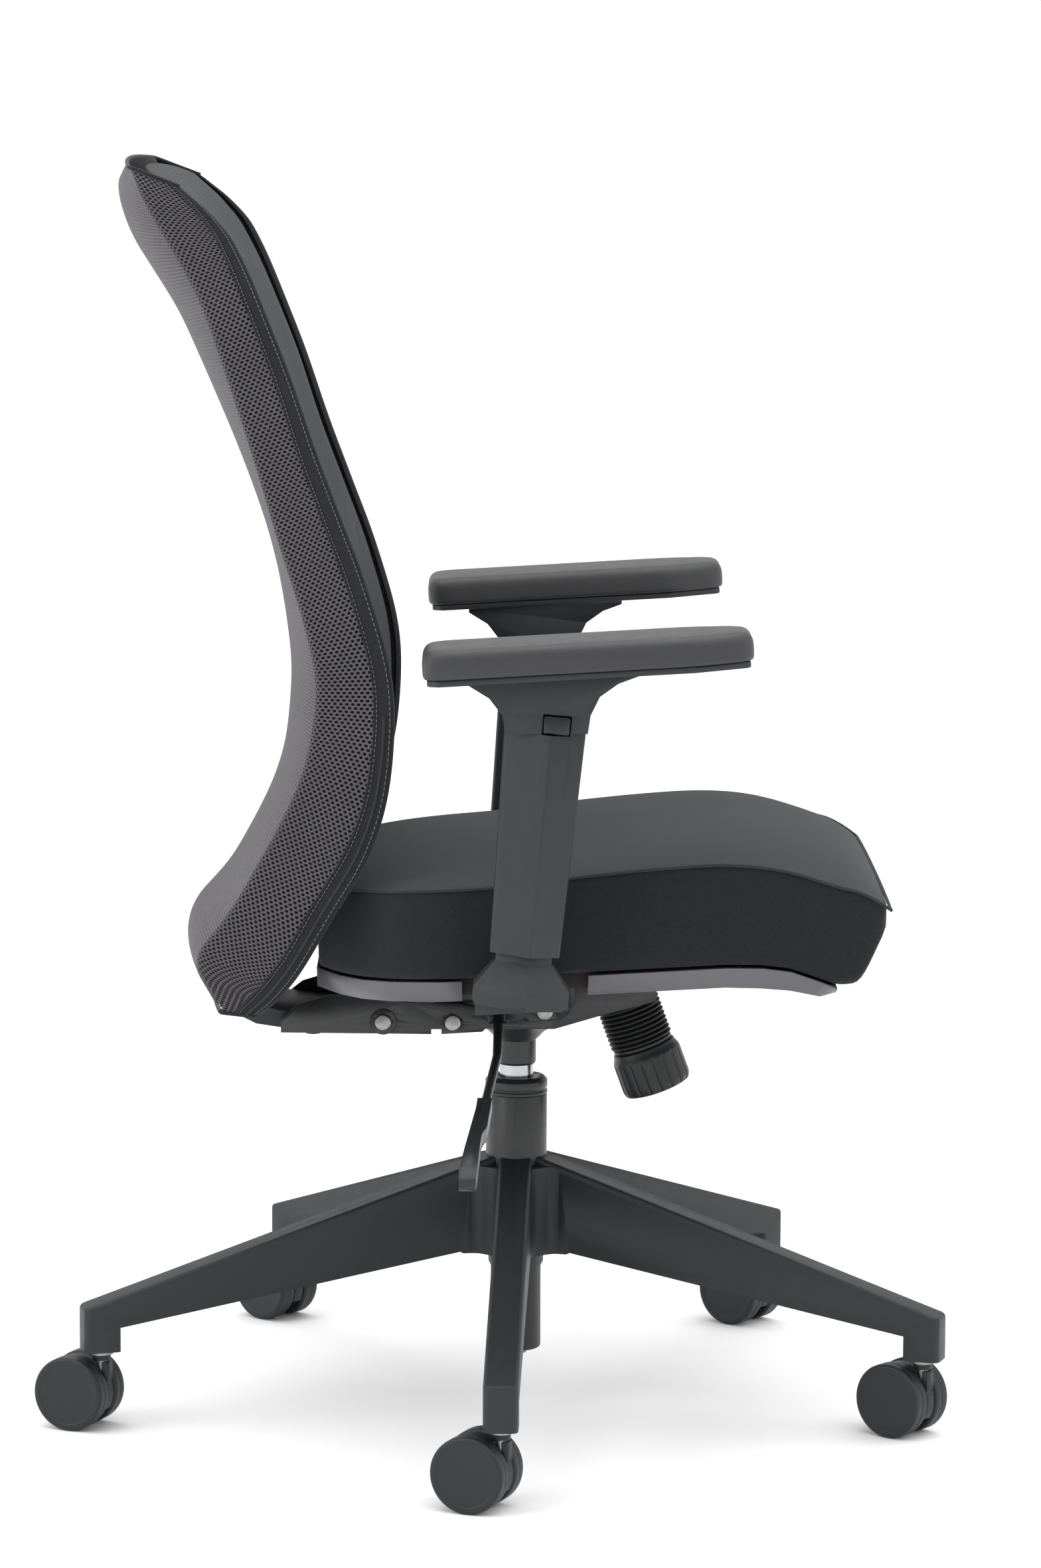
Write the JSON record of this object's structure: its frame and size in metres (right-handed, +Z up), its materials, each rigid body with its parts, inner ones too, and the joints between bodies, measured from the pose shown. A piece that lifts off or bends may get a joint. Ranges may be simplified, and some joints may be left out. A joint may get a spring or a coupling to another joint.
{
  "type": "swivel office chair",
  "caption": "Swivel office chair with mesh back, padded seat, height-adjustable arms, tilt mechanism, gas lift and five-star castor base.",
  "frame": {"origin": "on the floor, on the axis of the gas lift", "axes": "+Z up; the chair faces -Y; the sitter's right hand is on the -X side"},
  "size_m": [0.7066, 0.7329, 1.0141],
  "materials": {
    "base_plastic": "fine-grained glass-filled nylon",
    "black_steel": "satin black powder coat",
    "bush_plastic": "satin",
    "chrome_steel": "polished",
    "zinc_steel": "bright zinc plate",
    "black_bolts": "blackened",
    "bellows_rubber": "satin",
    "knob_plastic": "satin",
    "seat_fabric": "fine twill weave",
    "back_fabric": "fine mesh over foam",
    "back_spacer_mesh": "open spacer mesh",
    "frame_plastic": "moulded",
    "seat_board": "black-stained plywood",
    "shell_plastic": "satin moulded",
    "arm_plastic": "fine-grained moulded",
    "button_plastic": "satin",
    "pad_skin": "soft polyurethane skin",
    "castor_plastic": "satin nylon"
  },
  "bodies": {
    "base": {"base_star": "base_plastic", "lift_tube": "black_steel", "lift_guide_bush": "bush_plastic"},
    "lift_rod": {"lift_rod": "chrome_steel", "thrust_bearing": "zinc_steel", "rod_clip": "zinc_steel"},
    "chassis": {"lift_cylinder": "chrome_steel", "chassis_pan": "black_steel", "pivot_pins": "zinc_steel", "tension_bolt": "zinc_steel", "tilt_spring": "zinc_steel", "tension_bellows": "bellows_rubber", "lever_pin": "black_steel"},
    "valve_pin": {"valve_pin": "zinc_steel"},
    "lever": {"lever_rod": "black_steel", "lever_paddle": "bush_plastic"},
    "tension_collar": {"tension_collar": "bush_plastic"},
    "tension_knob": {"tension_knob": "knob_plastic"},
    "back": {"back_arm": "black_steel", "rear_pin": "zinc_steel", "back_bolts": "black_bolts", "back_upright": "frame_plastic", "back_frame": "frame_plastic", "back_cushion": "back_fabric", "back_mesh": "back_spacer_mesh"},
    "seat": {"seat_plate": "black_steel", "seat_bolts": "black_bolts", "seat_pan": "seat_board", "seat_shell": "shell_plastic", "seat_cushion": "seat_fabric", "arm_stem_left": "arm_plastic", "arm_stem_right": "arm_plastic"},
    "castor_1": {"castor_1_fork": "castor_plastic", "castor_1_pins": "zinc_steel"},
    "castor_1_wheel_left": {"castor_1_wheel_left": "castor_plastic"},
    "castor_1_wheel_right": {"castor_1_wheel_right": "castor_plastic"},
    "castor_2": {"castor_2_fork": "castor_plastic", "castor_2_pins": "zinc_steel"},
    "castor_2_wheel_left": {"castor_2_wheel_left": "castor_plastic"},
    "castor_2_wheel_right": {"castor_2_wheel_right": "castor_plastic"},
    "castor_3": {"castor_3_fork": "castor_plastic", "castor_3_pins": "zinc_steel"},
    "castor_3_wheel_left": {"castor_3_wheel_left": "castor_plastic"},
    "castor_3_wheel_right": {"castor_3_wheel_right": "castor_plastic"},
    "castor_4": {"castor_4_fork": "castor_plastic", "castor_4_pins": "zinc_steel"},
    "castor_4_wheel_left": {"castor_4_wheel_left": "castor_plastic"},
    "castor_4_wheel_right": {"castor_4_wheel_right": "castor_plastic"},
    "castor_5": {"castor_5_fork": "castor_plastic", "castor_5_pins": "zinc_steel"},
    "castor_5_wheel_left": {"castor_5_wheel_left": "castor_plastic"},
    "castor_5_wheel_right": {"castor_5_wheel_right": "castor_plastic"},
    "arm_right": {"arm_sleeve_right": "arm_plastic", "arm_pad_base_right": "arm_plastic", "arm_pad_right": "pad_skin"},
    "arm_button_right": {"arm_button_right": "button_plastic"},
    "arm_left": {"arm_sleeve_left": "arm_plastic", "arm_pad_base_left": "arm_plastic", "arm_pad_left": "pad_skin"},
    "arm_button_left": {"arm_button_left": "button_plastic"}
  },
  "joints": [
    {"name": "castor_1_swivel", "type": "hinge", "parent": "base", "child": "castor_1", "pos_m": [-0.34604, 0.01349, 0.0629], "axis": [0, 0, 1], "continuous": true},
    {"name": "castor_1_wheel_left_spin", "type": "hinge", "parent": "castor_1", "child": "castor_1_wheel_left", "pos_m": [-0.33822, 0.0319, 0.03], "axis": [0.9205, -0.3907, 0], "continuous": true},
    {"name": "castor_1_wheel_right_spin", "type": "hinge", "parent": "castor_1", "child": "castor_1_wheel_right", "pos_m": [-0.33822, 0.0319, 0.03], "axis": [0.9205, -0.3907, 0], "continuous": true},
    {"name": "castor_2_swivel", "type": "hinge", "parent": "base", "child": "castor_2", "pos_m": [-0.11976, -0.32493, 0.0629], "axis": [0, 0, 1], "continuous": true},
    {"name": "castor_2_wheel_left_spin", "type": "hinge", "parent": "castor_2", "child": "castor_2_wheel_left", "pos_m": [-0.10717, -0.30939, 0.03], "axis": [0.7771, -0.6293, 0], "continuous": true},
    {"name": "castor_2_wheel_right_spin", "type": "hinge", "parent": "castor_2", "child": "castor_2_wheel_right", "pos_m": [-0.10717, -0.30939, 0.03], "axis": [0.7771, -0.6293, 0], "continuous": true},
    {"name": "castor_3_swivel", "type": "hinge", "parent": "base", "child": "castor_3", "pos_m": [0.27202, -0.21431, 0.0629], "axis": [0, 0, 1], "continuous": true},
    {"name": "castor_3_wheel_left_spin", "type": "hinge", "parent": "castor_3", "child": "castor_3_wheel_left", "pos_m": [0.28488, -0.19899, 0.03], "axis": [0.766, -0.6428, 0], "continuous": true},
    {"name": "castor_3_wheel_right_spin", "type": "hinge", "parent": "castor_3", "child": "castor_3_wheel_right", "pos_m": [0.28488, -0.19899, 0.03], "axis": [0.766, -0.6428, 0], "continuous": true},
    {"name": "castor_4_swivel", "type": "hinge", "parent": "base", "child": "castor_4", "pos_m": [0.28788, 0.19248, 0.0629], "axis": [0, 0, 1], "continuous": true},
    {"name": "castor_4_wheel_left_spin", "type": "hinge", "parent": "castor_4", "child": "castor_4_wheel_left", "pos_m": [0.30126, 0.20735, 0.03], "axis": [0.7431, -0.6691, 0], "continuous": true},
    {"name": "castor_4_wheel_right_spin", "type": "hinge", "parent": "castor_4", "child": "castor_4_wheel_right", "pos_m": [0.30126, 0.20735, 0.03], "axis": [0.7431, -0.6691, 0], "continuous": true},
    {"name": "castor_5_swivel", "type": "hinge", "parent": "base", "child": "castor_5", "pos_m": [-0.0941, 0.33327, 0.0629], "axis": [0, 0, 1], "continuous": true},
    {"name": "castor_5_wheel_left_spin", "type": "hinge", "parent": "castor_5", "child": "castor_5_wheel_left", "pos_m": [-0.08629, 0.35168, 0.03], "axis": [0.9205, -0.3907, 0], "continuous": true},
    {"name": "castor_5_wheel_right_spin", "type": "hinge", "parent": "castor_5", "child": "castor_5_wheel_right", "pos_m": [-0.08629, 0.35168, 0.03], "axis": [0.9205, -0.3907, 0], "continuous": true},
    {"name": "seat_swivel", "type": "hinge", "parent": "base", "child": "lift_rod", "pos_m": [0, 0, 0.2672], "axis": [0, 0, 1], "continuous": true},
    {"name": "gas_lift", "type": "slide", "parent": "lift_rod", "child": "chassis", "axis": [0, 0, 1], "range_m": [-0.008, 0.092]},
    {"name": "back_recline", "type": "hinge", "parent": "chassis", "child": "back", "pos_m": [0, 0.0518, 0.3249], "axis": [-1, 0, 0], "range_deg": [0, 20], "stiffness_Nm_per_rad": 40, "springref_deg": -34.38},
    {"name": "seat_tilt", "type": "hinge", "parent": "chassis", "child": "seat", "pos_m": [0, -0.0223, 0.3332], "axis": [-1, 0, 0], "range_deg": [0, 8.7]},
    {"name": "height_lever", "type": "hinge", "parent": "chassis", "child": "lever", "pos_m": [-0.044, 0.0152, 0.3317], "axis": [0, 1, 0], "range_deg": [0, 7], "stiffness_Nm_per_rad": 3, "springref_deg": -8.59},
    {"name": "valve_press", "type": "slide", "parent": "chassis", "child": "valve_pin", "axis": [0, 0, -1], "range_m": [0, 0.006]},
    {"name": "tension_travel", "type": "slide", "parent": "chassis", "child": "tension_collar", "axis": [0, 0.342, 0.9397], "range_m": [0, 0.0062], "deforming": ["tension_bellows", "tilt_spring"]},
    {"name": "tension_turn", "type": "hinge", "parent": "tension_collar", "child": "tension_knob", "pos_m": [0, -0.0914, 0.3282], "axis": [0, 0.342, 0.9397], "range_deg": [0, 1440]},
    {"name": "arm_height_right", "type": "slide", "parent": "seat", "child": "arm_right", "axis": [0, -0.0889, 0.996], "range_m": [-0.005, 0.065]},
    {"name": "arm_button_press_right", "type": "slide", "parent": "arm_right", "child": "arm_button_right", "axis": [1, 0, 0], "range_m": [0, 0.003], "stiffness_N_per_m": 300, "springref_m": -0.002},
    {"name": "arm_height_left", "type": "slide", "parent": "seat", "child": "arm_left", "axis": [0, -0.0889, 0.996], "range_m": [-0.005, 0.065]},
    {"name": "arm_button_press_left", "type": "slide", "parent": "arm_left", "child": "arm_button_left", "axis": [-1, 0, 0], "range_m": [0, 0.003], "stiffness_N_per_m": 300, "springref_m": -0.002}
  ],
  "couplings": [
    {"joint": "seat_tilt", "follows": "back_recline", "ratio": 0.43},
    {"joint": "valve_press", "follows": "height_lever", "m_per_rad": 0.047},
    {"joint": "tension_travel", "follows": "tension_turn", "m_per_rad": 0.00023873}
  ]
}
